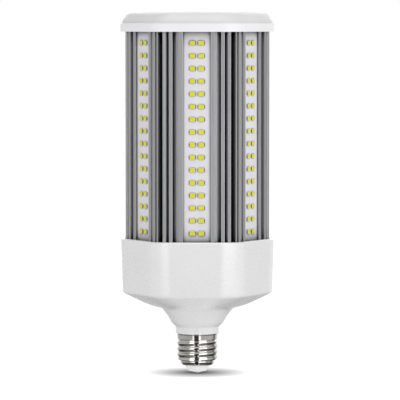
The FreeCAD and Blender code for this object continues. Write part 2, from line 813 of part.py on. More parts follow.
def make_top_light():
    """The round LED board under the cover, and its ring of chips."""
    board = new_body("top_led_board", PLATE_TOP)
    disc = new_sketch(board, "disc_plan")
    draw_circle(disc, TOP_BOARD_RADIUS)
    pad(board, disc, "top_board_thickness", "disc")
    chips = new_body("top_led_chips", PLATE_TOP + " + top_board_thickness")
    plan = new_sketch(chips, "chip_plan")
    draw_rectangle(plan, "-chip_width / 2", "chip_width / 2",
                   "-%s - chip_height / 2" % TOP_CHIP_CIRCLE,
                   "-%s + chip_height / 2" % TOP_CHIP_CIRCLE)
    first = pad(chips, plan, "chip_thickness", "chip")
    repeat_round(chips, [first], int(number("top_chip_count")), "chip_ring")


def make_screws(label, foot, upwards):
    """A set of pan-head screws in every other screw port."""
    body = new_body(label, foot)
    plan = new_sketch(body, "head_plan", height="-screw_head_height" if upwards else "0")
    draw_circle(plan, "screw_head_radius", "0", "-" + PORT_APOTHEM)
    head_pad = pad(body, plan, "screw_head_height", "head")
    shank = new_sketch(body, "shank_plan", height="0" if upwards else "-screw_length")
    draw_circle(shank, "screw_radius", "0", "-" + PORT_APOTHEM)
    shank_pad = pad(body, shank, "screw_length", "shank")
    repeat_round(body, [head_pad, shank_pad], int(number("screw_count")), "set")


# Driver

def make_sleeve():
    """The plastic sleeve round the driver, hung by its flange under the heat sink."""
    body = turned_body("driver_sleeve", SLEEVE_FOOT, [
        ("sleeve_wire_radius", "0"),
        (SLEEVE_RADIUS, "0"),
        (SLEEVE_RADIUS, "sleeve_drop"),
        (FLANGE_RADIUS, "sleeve_drop"),
        (FLANGE_RADIUS, "sleeve_drop + flange_thickness"),
        (SLEEVE_RADIUS, "sleeve_drop + flange_thickness"),
        (SLEEVE_RADIUS, "sleeve_drop + flange_thickness + sleeve_rise"),
        (SLEEVE_INSIDE, "sleeve_drop + flange_thickness + sleeve_rise"),
        (SLEEVE_INSIDE, "sleeve_floor"),
        ("sleeve_wire_radius", "sleeve_floor"),
    ])
    drill_screw_holes(body)


def make_driver():
    """The driver board standing in the sleeve, and the parts soldered to its face."""
    board = new_body("driver_board", DRIVER_FOOT)
    plan = new_sketch(board, "board_plan")
    draw_rectangle(plan, "-driver_width / 2", "driver_width / 2",
                   "driver_offset", "driver_offset + driver_thickness")
    pad(board, plan, "driver_height", "board")
    make_fuse()
    make_choke()
    make_block("film_capacitor", "film", "-driver_width / 2 + film_inset")
    make_block("bridge_rectifier", "bridge", "driver_width / 2 - bridge_inset")
    make_block("power_transistor", "switch", "-driver_width / 2 + switch_inset")
    input_can = new_component("input_capacitor", "input_can_across", "input_can_up")
    turn_can(input_can, "input_can_radius", "input_can_depth")
    for number_on_board, sign in ((1, "-"), (2, "")):
        can = new_component("output_capacitor_%d" % number_on_board,
                            sign + "output_can_spacing / 2", "output_can_up")
        turn_can(can, "output_can_radius", "output_can_depth")
    make_transformer()


def new_component(label, across, up):
    """A body on the driver board's face, with its own Z pointing out of the board to -Y."""
    body = new_body(label, "%s + %s" % (DRIVER_FOOT, up))
    spot = Vector(number(across), number("driver_offset"), body.Placement.Base.z)
    body.Placement = Placement(spot, Rotation(Vector(1, 0, 0), 90))
    body.setExpression("Placement.Base.x", expression(across))
    body.setExpression("Placement.Base.y", expression("driver_offset"))
    return body


def make_fuse():
    """The round input fuse."""
    body = new_component("input_fuse", "-driver_width / 2 + fuse_inset", "fuse_up")
    plan = new_sketch(body, "fuse_plan")
    draw_circle(plan, "fuse_radius")
    pad(body, plan, "fuse_depth", "fuse")


def make_choke():
    """The wound ring of the line choke, lying against the board."""
    body = new_component("line_choke", "choke_across", "choke_up")
    section = new_sketch(body, "choke_section", "XZ_Plane")
    draw_outline(section, [
        ("choke_hole_radius + choke_edge", "0"),
        ("choke_radius - choke_edge", "0"),
        ("choke_radius", "choke_edge"),
        ("choke_radius", "choke_depth - choke_edge"),
        ("choke_radius - choke_edge", "choke_depth"),
        ("choke_hole_radius + choke_edge", "choke_depth"),
        ("choke_hole_radius", "choke_depth - choke_edge"),
        ("choke_hole_radius", "choke_edge"),
    ])
    revolve(body, section)


def make_block(label, size, across):
    """A boxed component whose own sizes share one first word."""
    body = new_component(label, across, size + "_up")
    plan = new_sketch(body, "block_plan")
    draw_rectangle(plan, "-%s_width / 2" % size, "%s_width / 2" % size,
                   "-%s_height / 2" % size, "%s_height / 2" % size)
    pad(body, plan, size + "_depth", "block")


def turn_can(body, radius, depth):
    """An electrolytic capacitor's can, with the rolled bead near its foot."""
    section = new_sketch(body, "can_section", "XZ_Plane")
    draw_outline(section, [
        ("0", "0"),
        (radius, "0"),
        (radius, "can_bead_height - can_bead_depth"),
        (radius + " - can_bead_depth", "can_bead_height"),
        (radius, "can_bead_height + can_bead_depth"),
        (radius, depth + " - can_bead_depth"),
        (radius + " - can_bead_depth", depth),
        ("0", depth),
    ])
    revolve(body, section)


def make_transformer():
    """A ferrite frame with a middle leg, and the winding round that leg."""
    core = new_component("transformer_core", "transformer_across", "transformer_up")
    frame = new_sketch(core, "frame_section", "XZ_Plane")
    draw_rectangle(frame, "-core_frame_width / 2", "core_frame_width / 2", "0", "core_frame_depth")
    window = ("core_leg_width / 2", "core_frame_width / 2 - core_side_width")
    for left, right in (window, ("-(%s)" % window[1], "-(%s)" % window[0])):
        draw_rectangle(frame, left, right, "core_yoke_depth", "core_frame_depth - core_yoke_depth")
    block = pad(core, frame, "core_frame_height", "frame")
    block.Midplane = True
    winding = new_component("transformer_winding", "transformer_across", "transformer_up")
    plan = new_sketch(winding, "winding_plan", height="core_yoke_depth")
    inner = ("core_leg_width / 2 + winding_clearance", "core_frame_height / 2 + winding_clearance")
    for grow in ("0", "winding_build"):
        across = "%s + %s" % (inner[0], grow)
        up = "%s + %s" % (inner[1], grow)
        draw_rectangle(plan, "-(%s)" % across, across, "-(%s)" % up, up)
    pad(winding, plan, "core_frame_depth - 2 * core_yoke_depth", "winding")


def new_lead(label, across, points, bends):
    """A round lead out of the driver board's face, in straight runs joined by arcs, at one X."""
    body = new_body(label)
    body.Placement = Placement(Vector(number(across), 0, 0), Rotation())
    body.setExpression("Placement.Base.x", expression(across))
    route = new_sketch(body, "route", "YZ_Plane")
    spots = [Vector(number(y), number(z), 0) for y, z in points]
    last = len(points) - 1
    for index in range(last):
        route.addGeometry(Part.LineSegment(spots[index], spots[index + 1]))
        hold_point(route, index, 1, *points[index])
        if index:
            route.addConstraint(Sketcher.Constraint("Coincident", index - 1, 2, index, 1))
    hold_point(route, last - 1, 2, *points[last])
    for index in range(last - 1, 0, -1):
        corner = spots[index]
        back = (spots[index - 1] - corner).normalize()
        onward = (spots[index + 1] - corner).normalize()
        radius = number(bends[index - 1])
        setback = radius * math.tan((math.pi - back.getAngle(onward)) / 2)
        start = corner + back * setback
        end = corner + onward * setback
        route.fillet(index - 1, index, start, end, radius, True, True)
    section = new_sketch(body, "wire_section", "XZ_Plane", "-(%s)" % points[0][0])
    draw_circle(section, "lead_radius", "0", points[0][1])
    wire = body.newObject("PartDesign::AdditivePipe", "wire")
    wire.Profile = section
    wire.Spine = route
    set_tip(body, wire, "pipe")


def make_leads():
    """The mains leads down to the contact and the shell, and the lamp leads up to the top board."""
    face = "driver_offset"
    away = "driver_offset - lead_stand"
    mains = DRIVER_FOOT + " + mains_solder_up"
    new_lead("live_lead", "0", [
        (face, mains),
        (away, mains),
        (away, "live_turn_height"),
        ("0", "live_drop_height"),
        ("0", "contact_drop + stem_length"),
    ], ["lead_exit_bend", "lead_bend", "lead_bend"])

    shell_inside = "(thread_radius - thread_depth - shell_wall)"
    shell_reach = "sqrt(%s ^ 2 - (abs(neutral_across) + lead_radius) ^ 2)" % shell_inside
    shell_height = "contact_drop + insulator_rise + insulator_plug_rise + neutral_stand"
    new_lead("neutral_lead", "neutral_across", [
        (face, mains),
        (away, mains),
        (away, "neutral_turn_height"),
        ("neutral_swing", "neutral_drop_height"),
        ("neutral_swing", shell_height),
        ("-" + shell_reach, shell_height),
    ], ["lead_exit_bend", "lead_bend", "lead_bend", "neutral_bend"])

    lamp = DRIVER_FOOT + " + lamp_lead_up"
    for label, sign in (("positive_lamp_lead", ""), ("negative_lamp_lead", "-")):
        new_lead(label, sign + "lamp_lead_across", [
            (face, lamp),
            (away, lamp),
            (away, "lamp_turn_height"),
            ("lamp_lead_swing", "lamp_rise_height"),
            ("lamp_lead_swing", PLATE_TOP),
        ], ["lead_exit_bend", "lead_bend", "lead_bend"])


make_contact()
make_insulator()
make_shell()
make_housing()
make_heat_sink()
make_boards()
make_top_plate()
make_ring()
make_cover()
make_top_light()
make_screws("top_plate_screws", PLATE_TOP, False)
make_screws("sleeve_screws", FLANGE_FOOT, True)
make_sleeve()
make_driver()
make_leads()

doc.recompute()
for item in doc.Objects:
    if "Invalid" in item.State or "Error" in item.State:
        raise ValueError("%s is %s" % (item.Label, item.State))
for piece in pieces:
    if piece.Shape.isNull() or not piece.Shape.isValid():
        raise ValueError(piece.Label + " has no valid shape")
for piece in pieces:
    piece.Shape.exportStep("parts/%s.step" % piece.Label)
    print(piece.Label, len(piece.Shape.Solids), round(piece.Shape.Volume, 1))
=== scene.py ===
import json
import math

import bmesh
import bpy
from mathutils import Matrix, Vector


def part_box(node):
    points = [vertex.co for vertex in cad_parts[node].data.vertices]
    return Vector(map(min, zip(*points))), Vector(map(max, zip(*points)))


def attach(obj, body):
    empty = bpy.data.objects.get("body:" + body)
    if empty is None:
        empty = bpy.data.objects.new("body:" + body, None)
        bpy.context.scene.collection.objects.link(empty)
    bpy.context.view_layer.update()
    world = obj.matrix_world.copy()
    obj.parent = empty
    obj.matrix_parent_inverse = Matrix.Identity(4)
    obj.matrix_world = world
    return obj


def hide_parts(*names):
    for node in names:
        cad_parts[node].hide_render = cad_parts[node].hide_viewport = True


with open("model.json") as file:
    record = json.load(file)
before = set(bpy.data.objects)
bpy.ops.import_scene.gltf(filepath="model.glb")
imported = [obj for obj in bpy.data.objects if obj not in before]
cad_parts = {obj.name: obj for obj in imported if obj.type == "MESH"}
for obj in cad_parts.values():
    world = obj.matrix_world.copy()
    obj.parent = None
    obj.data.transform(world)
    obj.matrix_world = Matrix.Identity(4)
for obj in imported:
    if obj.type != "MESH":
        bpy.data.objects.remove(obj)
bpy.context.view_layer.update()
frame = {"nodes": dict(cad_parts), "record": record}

# Lengths are in metres, and heights are worked out from the CAD nodes
MM = 0.001
BODY = "root"
SIDES = 6
SIDE_ANGLE = 2 * math.pi / SIDES
POINTS_AROUND = 144


def low(node):
    """Height of a node's lowest point."""
    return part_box(node)[0][2]


def high(node):
    """Height of a node's highest point."""
    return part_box(node)[1][2]


def new_piece(name, bm, material, smooth_angle=35):
    """Turns a bmesh into a piece that rides on the body, with edges sharper than an angle kept sharp."""
    bmesh.ops.recalc_face_normals(bm, faces=bm.faces)
    limit = math.radians(smooth_angle)
    for face in bm.faces:
        face.smooth = True
    for edge in bm.edges:
        edge.smooth = len(edge.link_faces) == 2 and edge.calc_face_angle(0) < limit
    mesh = bpy.data.meshes.new(name)
    bm.to_mesh(mesh)
    bm.free()
    mesh.materials.append(material)
    piece = bpy.data.objects.new(name, mesh)
    bpy.context.scene.collection.objects.link(piece)
    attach(piece, BODY)
    return piece


# Sections and skins: a section is a rounded hexagon, given as its apothem, corner rounding and height

def circle(radius, height):
    """The section of a round stretch, which is rounded by as much as its apothem."""
    return (radius, radius, height)


def outline_radius(apothem, rounding, angle):
    """Distance from the axis to a rounded hexagon's edge, at an angle from the middle of a flat."""
    half_side = SIDE_ANGLE / 2
    from_flat = abs((angle + half_side) % SIDE_ANGLE - half_side)
    if math.tan(from_flat) * apothem <= (apothem - rounding) * math.tan(half_side):
        return apothem / math.cos(from_flat)
    reach = (apothem - rounding) / math.cos(half_side)
    from_corner = half_side - from_flat
    return reach * math.cos(from_corner) + math.sqrt(rounding ** 2 - (reach * math.sin(from_corner)) ** 2)


def outline(apothem, rounding, height):
    """Points round a section, from the middle of the front flat towards +X."""
    points = []
    for step in range(POINTS_AROUND):
        angle = 2 * math.pi * step / POINTS_AROUND
        radius = outline_radius(apothem, min(rounding, apothem), angle)
        points.append(Vector((radius * math.sin(angle), -radius * math.cos(angle), height)))
    return points


# The most that a cut takes of the run beside it
LONGEST_CUT = 0.49


def soften(path, cuts, steps=6):
    """A path with each inner corner replaced by a curve that starts and ends one cut away from it."""
    smooth = [Vector(path[0])]
    for index, cut in enumerate(cuts, start=1):
        corner = Vector(path[index])
        before = Vector(path[index - 1]) - corner
        after = Vector(path[index + 1]) - corner
        start = corner + before * min(LONGEST_CUT, cut / before.length)
        end = corner + after * min(LONGEST_CUT, cut / after.length)
        for step in range(steps + 1):
            t = step / steps
            smooth.append(start * (1 - t) ** 2 + corner * 2 * t * (1 - t) + end * t ** 2)
    smooth.append(Vector(path[-1]))
    return smooth


def skin(rings, closed=False):
    """Faces between rings of points. A closed skin joins its two ends, and an open one is capped."""
    bm = bmesh.new()
    rows = [[bm.verts.new(point) for point in ring] for ring in rings]
    pairs = list(zip(rows, rows[1:]))
    if closed:
        pairs.append((rows[-1], rows[0]))
    for one, other in pairs:
        for index in range(len(one)):
            following = (index + 1) % len(one)
            bm.faces.new((one[index], one[following], other[following], other[index]))
    if not closed:
        for row in (rows[0], rows[-1]):
            middle = bm.verts.new(sum((vert.co for vert in row), Vector()) / len(row))
            for index in range(len(row)):
                bm.faces.new((row[index], row[(index + 1) % len(row)], middle))
    return bm


# Shader nodes

def feed(tree, socket, value):
    """Gives a socket its value, which is a number, a colour or another node's output."""
    if isinstance(value, bpy.types.NodeSocket):
        tree.links.new(value, socket)
    else:
        socket.default_value = value


def math_step(tree, operation, *values):
    """The result of a math node."""
    step = tree.nodes.new("ShaderNodeMath")
    step.operation = operation
    for socket, value in zip(step.inputs, values):
        feed(tree, socket, value)
    return step.outputs["Value"]


def map_range(tree, value, from_low, from_high, to_low=0.0, to_high=1.0):
    """A value carried over from one range to another."""
    spread = tree.nodes.new("ShaderNodeMapRange")
    spread.inputs["From Min"].default_value = from_low
    spread.inputs["From Max"].default_value = from_high
    spread.inputs["To Min"].default_value = to_low
    spread.inputs["To Max"].default_value = to_high
    feed(tree, spread.inputs["Value"], value)
    return spread.outputs["Result"]


def color_mix(tree, blend_type, factor, one, other):
    """Two colours mixed."""
    mix = tree.nodes.new("ShaderNodeMix")
    mix.data_type = "RGBA"
    mix.blend_type = blend_type
    feed(tree, mix.inputs["Factor"], factor)
    feed(tree, mix.inputs["A"], one)
    feed(tree, mix.inputs["B"], other)
    return mix.outputs["Result"]


def grey_ramp(tree, value, stops):
    """A value's grey on a ramp of places and strengths, whose first and last stops stand at 0 and 1."""
    ramp = tree.nodes.new("ShaderNodeValToRGB")
    elements = ramp.color_ramp.elements
    for place, strength in stops[1:-1]:
        elements.new(place).color = (strength, strength, strength, 1)
    for element, (_, strength) in ((elements[0], stops[0]), (elements[-1], stops[-1])):
        element.color = (strength, strength, strength, 1)
    feed(tree, ramp.inputs["Fac"], value)
    return ramp.outputs["Color"]


# Materials

# The range that a noise texture mostly keeps to
NOISE_RANGE = (0.3, 0.7)


class Surface:
    """A material under construction: a principled shader and the nodes that feed it."""

    def __init__(self, name, color, roughness, metallic=0.0, **settings):
        self.material = bpy.data.materials.new(name)
        self.material.use_nodes = True
        self.tree = self.material.node_tree
        self.shader = self.tree.nodes["Principled BSDF"]
        self.color = color
        self.shader.inputs["Base Color"].default_value = (*color, 1.0)
        self.shader.inputs["Roughness"].default_value = roughness
        self.shader.inputs["Metallic"].default_value = metallic
        for socket, value in settings.items():
            self.shader.inputs[socket.replace("_", " ")].default_value = value
        self.place = self.tree.nodes.new("ShaderNodeTexCoord").outputs["Object"]

    def noise(self, scale, stretch=(1, 1, 1), detail=4.0):
        """Noise over the object's own coordinates, stretched along its axes."""
        mapping = self.tree.nodes.new("ShaderNodeMapping")
        mapping.inputs["Scale"].default_value = stretch
        noise = self.tree.nodes.new("ShaderNodeTexNoise")
        noise.inputs["Scale"].default_value = scale
        noise.inputs["Detail"].default_value = detail
        feed(self.tree, mapping.inputs["Vector"], self.place)
        feed(self.tree, noise.inputs["Vector"], mapping.outputs["Vector"])
        return noise.outputs["Fac"]

    def vary_gloss(self, source, lowest, highest):
        """Varies the roughness between two values."""
        gloss = map_range(self.tree, source, *NOISE_RANGE, lowest, highest)
        feed(self.tree, self.shader.inputs["Roughness"], gloss)

    def tint(self, source, darker, lighter):
        """Varies the colour between two shades of itself."""
        ramp = self.tree.nodes.new("ShaderNodeValToRGB")
        for element, factor, place in zip(ramp.color_ramp.elements, (darker, lighter), NOISE_RANGE):
            element.position = place
            element.color = (*(min(1.0, part * factor) for part in self.color), 1.0)
        feed(self.tree, ramp.inputs["Fac"], source)
        feed(self.tree, self.shader.inputs["Base Color"], ramp.outputs["Color"])

    def paint_shade_in_recesses(self, reach, deepest, closed, open_sky):
        """Darkens the tinted colour in narrow gaps, by how little of the sky they see: painted shade in
        recesses.
        """
        sky = self.tree.nodes.new("ShaderNodeAmbientOcclusion")
        sky.inputs["Distance"].default_value = reach
        fade = self.tree.nodes.new("ShaderNodeVectorMath")
        fade.operation = "SCALE"
        tinted = self.shader.inputs["Base Color"].links[0].from_socket
        darken = map_range(self.tree, sky.outputs["AO"], closed, open_sky, to_low=deepest)
        feed(self.tree, fade.inputs[0], tinted)
        feed(self.tree, fade.inputs["Scale"], darken)
        feed(self.tree, self.shader.inputs["Base Color"], fade.outputs["Vector"])

    def bump(self, source, strength, distance):
        """Gives the surface relief."""
        bump = self.tree.nodes.new("ShaderNodeBump")
        bump.inputs["Strength"].default_value = strength
        bump.inputs["Distance"].default_value = distance
        feed(self.tree, bump.inputs["Height"], source)
        feed(self.tree, self.shader.inputs["Normal"], bump.outputs["Normal"])


def moulded(name, color, roughness, grain=900, relief=0.04, **settings):
    """Injection-moulded plastic: a little orange peel and uneven gloss."""
    surface = Surface(name, color, roughness, **settings)
    fine = surface.noise(scale=grain)
    broad = surface.noise(scale=45, detail=2.0)
    surface.tint(broad, darker=0.975, lighter=1.01)
    surface.vary_gloss(fine, lowest=roughness * 0.88, highest=roughness * 1.15)
    surface.bump(fine, strength=relief, distance=0.1 * MM)
    return surface.material


def extruded_metal(name, color, roughness):
    """Anodised extruded aluminium: fine die lines along its length, uneven gloss, and painted shade in its
    recesses.
    """
    surface = Surface(name, color, roughness, metallic=0.45)
    lines = surface.noise(scale=2600, stretch=(1, 1, 0.012), detail=6.0)
    broad = surface.noise(scale=60, stretch=(1, 1, 0.1), detail=2.0)
    surface.tint(broad, darker=0.93, lighter=1.04)
    # Painted shade: the colour is darkened in the slots and valleys, where shade falls
    surface.paint_shade_in_recesses(reach=10.0 * MM, deepest=0.04, closed=0.12, open_sky=0.50)
    surface.vary_gloss(lines, lowest=roughness * 0.8, highest=roughness * 1.25)
    surface.bump(lines, strength=0.12, distance=0.03 * MM)
    return surface.material


def rolled_metal(name, color, roughness):
    """Plated sheet metal with rolling marks round it, and painted shade in its grooves."""
    surface = Surface(name, color, roughness, metallic=1.0)
    marks = surface.noise(scale=900, stretch=(0.15, 0.15, 3.0), detail=5.0)
    stain = surface.noise(scale=180, detail=6.0)
    surface.tint(stain, darker=0.9, lighter=1.05)
    # Painted shade: the colour is darkened in the thread's grooves and other narrow gaps
    surface.paint_shade_in_recesses(reach=1.8 * MM, deepest=0.2, closed=0.10, open_sky=0.46)
    surface.vary_gloss(marks, lowest=roughness * 0.7, highest=roughness * 1.5)
    surface.bump(marks, strength=0.08, distance=0.02 * MM)
    return surface.material


def solder_mask(name, color, roughness):
    """White solder mask over copper areas, which show as a slight relief, with painted shade in the slot's
    corners.
    """
    surface = Surface(name, color, roughness)
    fine = surface.noise(scale=2200)
    areas = surface.noise(scale=130, stretch=(1, 1, 0.6), detail=0.0)
    surface.tint(areas, darker=0.965, lighter=1.01)
    # Painted shade: the colour is darkened beside the rails and under the ring, where shade falls
    surface.paint_shade_in_recesses(reach=11.0 * MM, deepest=0.12, closed=0.38, open_sky=0.86)
    surface.vary_gloss(fine, lowest=roughness * 0.85, highest=roughness * 1.2)
    surface.bump(areas, strength=0.15, distance=0.05 * MM)
    return surface.material


def wound_wire(name, color):
    """Enamelled copper wire in close turns."""
    surface = Surface(name, color, roughness=0.3, metallic=0.8)
    turns = surface.tree.nodes.new("ShaderNodeTexWave")
    turns.inputs["Scale"].default_value = 700
    turns.inputs["Distortion"].default_value = 0.6
    feed(surface.tree, turns.inputs["Vector"], surface.place)
    surface.tint(turns.outputs["Fac"], darker=0.7, lighter=1.1)
    surface.bump(turns.outputs["Fac"], strength=0.6, distance=0.15 * MM)
    return surface.material


MATERIALS = {
    "nickel_shell": rolled_metal("nickel", (0.78, 0.76, 0.72), roughness=0.10),
    "contact_metal": rolled_metal("tinned_contact", (0.78, 0.77, 0.76), roughness=0.30),
    "base_insulator": moulded("insulator_white", (0.92, 0.92, 0.915), roughness=0.35),
    "white_housing": moulded("housing_white", (0.81, 0.81, 0.815), roughness=0.28, relief=0.008,
                             Coat_Weight=1.0, Coat_IOR=1.7, Coat_Roughness=0.30),
    "white_ring": moulded("ring_white", (0.83, 0.83, 0.84), roughness=0.40, relief=0.015),
    "frosted_cover": moulded("frosted_diffuser", (0.68, 0.68, 0.68), roughness=0.44, grain=2600,
                             relief=0.06),
    "extruded_aluminium": extruded_metal("extruded_aluminium", (0.400, 0.401, 0.409), roughness=0.36),
    "plate_aluminium": extruded_metal("plate_aluminium", (0.50, 0.50, 0.495), roughness=0.40),
    "white_board": solder_mask("white_solder_mask", (0.742, 0.732, 0.772), roughness=0.38),
    "led_phosphor": moulded("led_package", (0.74, 0.73, 0.68), roughness=0.40),
    "screw_steel": rolled_metal("zinc_screw", (0.55, 0.55, 0.54), roughness=0.30),
    "sleeve_plastic": moulded("sleeve_plastic", (0.60, 0.60, 0.57), roughness=0.50),
    "green_board": moulded("green_solder_mask", (0.02, 0.12, 0.04), roughness=0.30),
    "black_epoxy": moulded("black_epoxy", (0.012, 0.012, 0.012), roughness=0.45),
    "copper_winding": wound_wire("copper_winding", (0.52, 0.20, 0.07)),
    "film_case": moulded("film_case", (0.45, 0.30, 0.04), roughness=0.35),
    "can_sleeve": moulded("can_sleeve", (0.012, 0.014, 0.03), roughness=0.30),
    "ferrite": moulded("ferrite", (0.02, 0.02, 0.022), roughness=0.55),
    "winding_tape": moulded("winding_tape", (0.60, 0.42, 0.06), roughness=0.35),
    "white_lead": moulded("white_wire", (0.66, 0.66, 0.66), roughness=0.40),
    "red_lead": moulded("red_wire", (0.42, 0.01, 0.01), roughness=0.40),
    "black_lead": moulded("black_wire", (0.012, 0.012, 0.012), roughness=0.40),
}
PHOSPHOR = moulded("phosphor", (0.69, 0.675, 0.011), roughness=0.5, grain=3000, relief=0.15,
                   Specular_IOR_Level=0.15)
# Solder joints, coloured dark as painted shade at the ends of each LED
SOLDER_IN_PAINTED_SHADE = rolled_metal("solder", (0.26, 0.24, 0.22), roughness=0.34)

# Every CAD node takes the material of its slot
for part in frame["record"]["subparts"]:
    node = frame["nodes"][part["node"]]
    node.data.materials.clear()
    node.data.materials.append(MATERIALS[part["material_slot"]])


# Heat sink

def soften_sink():
    """Small rounds on the extrusion's edges, once its facets are joined into whole faces."""
    stack = frame["nodes"]["heat_sink"].modifiers
    stack.new("joined_corners", "WELD").merge_threshold = 0.001 * MM
    faces = stack.new("whole_faces", "DECIMATE")
    faces.decimate_type = "DISSOLVE"
    faces.angle_limit = math.radians(1)
    rounds = stack.new("edge_rounds", "BEVEL")
    rounds.width = 0.35 * MM
    rounds.segments = 2
    rounds.use_clamp_overlap = False
    rounds.limit_method = "ANGLE"
    rounds.angle_limit = math.radians(28)


# White housing

def make_housing():
    """The housing as one skin: outside down to the collar, inside back up to the heat sink's seat."""
    side_height, neck_height = 34.6 * MM, 16.0 * MM
    rim_apothem, edge_apothem, side_round = 44.7 * MM, 43.9 * MM, 19.0 * MM
    wall, rim_step = 2.4 * MM, 0.5 * MM
    funnel_round = 20.0 * MM
    spigot_radius, wire_way_radius = 11.5 * MM, 9.7 * MM
    seat_apothem, seat_round, seat_depth = 41.0 * MM, 5.0 * MM, 7.0 * MM
    foot = low("lower_housing")
    collar = high("screw_shell")
    neck_top = collar + neck_height
    rim = high("lower_housing")
    edge = rim - side_height
    outside = soften([
        (rim_apothem, side_round, rim - rim_step),
        (edge_apothem, side_round, edge),
        (30.2 * MM, funnel_round, neck_top + 2.3 * MM),
        circle(23.4 * MM, neck_top + 0.2 * MM),
        circle(22.6 * MM, neck_top - 0.5 * MM),
        circle(19.3 * MM, neck_top - 4.6 * MM),
        circle(16.9 * MM, neck_top - 9.2 * MM),
        circle(14.1 * MM, collar + 4.3 * MM),
        circle(13.9 * MM, collar),
    ], [1.4 * MM, 6.0 * MM, 0.3 * MM, 1.8 * MM, 3.0 * MM, 3.0 * MM, 0.4 * MM])
    inside = [
        circle(spigot_radius, collar),
        circle(spigot_radius, foot),
        circle(wire_way_radius, foot),
        circle(wire_way_radius, collar + 4.0 * MM),
        circle(17.9 * MM, neck_top - 1.5 * MM),
        (28.2 * MM, funnel_round, neck_top + 4.5 * MM),
        (edge_apothem - wall, side_round - wall, edge + 1.4 * MM),
        (edge_apothem - wall, side_round - wall, rim - seat_depth),
        (seat_apothem, seat_round, rim - seat_depth),
        (seat_apothem, seat_round, rim),
        (rim_apothem - rim_step, side_round - rim_step, rim),
    ]
    walls = skin([outline(*section) for section in [*outside, *inside]], closed=True)
    housing = new_piece("housing", walls, MATERIALS["white_housing"], smooth_angle=40)
    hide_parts("lower_housing")


# Top end

def make_ring():
    """The white ring, with small rounded edges."""
    apothem, side_round = 45.0 * MM, 19.0 * MM
    mouth_apothem, mouth_round = 37.6 * MM, 14.0 * MM
    seat_apothem, seat_round = 41.0 * MM, 5.0 * MM
    edge_cut = 0.6 * MM
    foot = low("top_ring")
    top = high("top_ring")
    lip = top - 1.2 * MM
    outside = soften([
        (seat_apothem, seat_round, foot),
        (apothem, side_round, foot),
        (apothem, side_round, top),
        (mouth_apothem, mouth_round, top),
    ], [edge_cut, edge_cut])
    inside = [(mouth_apothem, mouth_round, lip), (seat_apothem, seat_round, lip)]
    walls = skin([outline(*section) for section in [*outside, *inside]], closed=True)
    ring = new_piece("ring", walls, MATERIALS["white_ring"])
    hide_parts("top_ring")


def make_cover():
    """The frosted cover: upright side, rounded shoulder and a crowned top, hollow below."""
    side_apothem, side_round = 43.9 * MM, 18.6 * MM
    brow_apothem, brow_round = 40.3 * MM, 15.0 * MM
    crown_round, crown_rise = 24.0 * MM, 0.75 * MM
    spigot_apothem, spigot_round = 37.3 * MM, 13.7 * MM
    spigot_wall = 0.9 * MM
    foot = low("top_cover")
    seat = high("top_ring")
    hollow = seat + 1.4 * MM
    top = high("top_cover")
    brow = top - 1.1 * MM
    outside = soften([
        (side_apothem, side_round, seat),
        (side_apothem, side_round, seat + 1.6 * MM),
        (brow_apothem, brow_round, brow),
        (33.0 * MM, brow_round, brow + 0.6 * MM),
    ], [1.4 * MM, 1.6 * MM])
    crown = []
    for share in (0.7, 0.5, 0.3, 0.1):
        crown.append((brow_apothem * share, crown_round * share, top - crown_rise * share ** 2))
    inside = [
        circle(5.0 * MM, seat + 4.4 * MM),
        (38.0 * MM, 12.8 * MM, seat + 4.2 * MM),
        (42.0 * MM, 16.8 * MM, hollow),
        (spigot_apothem - spigot_wall, spigot_round - spigot_wall, hollow),
        (spigot_apothem - spigot_wall, spigot_round - spigot_wall, foot),
        (spigot_apothem, spigot_round, foot),
        (spigot_apothem, spigot_round, seat),
    ]
    walls = skin([outline(*section) for section in [*inside, *outside, *crown]])
    cover = new_piece("cover", walls, MATERIALS["frosted_cover"])
    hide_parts("top_cover")


# Screw base

THREAD_ROOT = 12.22 * MM
THREAD_CREST = 13.02 * MM
THREAD_PITCH = 3.629 * MM
THREAD_FADE = 0.9 * MM
THREAD_ROWS = 110

# The power of the thread's wave: below 1 widens its crests and narrows its roots
CREST_FULLNESS = 0.8


def turned_ring(radii, height):
    """Points round the axis at a height, from +X on, one for each radius."""
    ring = []
    for step, radius in enumerate(radii):
        turn = 2 * math.pi * step / len(radii)
        ring.append(Vector((radius * math.cos(turn), radius * math.sin(turn), height)))
    return ring


def thread_rise(turn, height, foot, top):
    """How far the thread stands out at a turn and a height, fading where it runs in and out."""
    first_crest = foot + 4.65 * MM
    thread_start = foot + 2.6 * MM
    thread_end = top - 4.3 * MM
    phase = (height - first_crest) / THREAD_PITCH - turn / (2 * math.pi)
    swell = (0.5 + 0.5 * math.cos(2 * math.pi * phase)) ** CREST_FULLNESS
    run_in = (height - thread_start) / THREAD_FADE
    run_out = (thread_end - height) / THREAD_FADE
    return (THREAD_CREST - THREAD_ROOT) * swell * min(1, max(0, run_in), max(0, run_out))


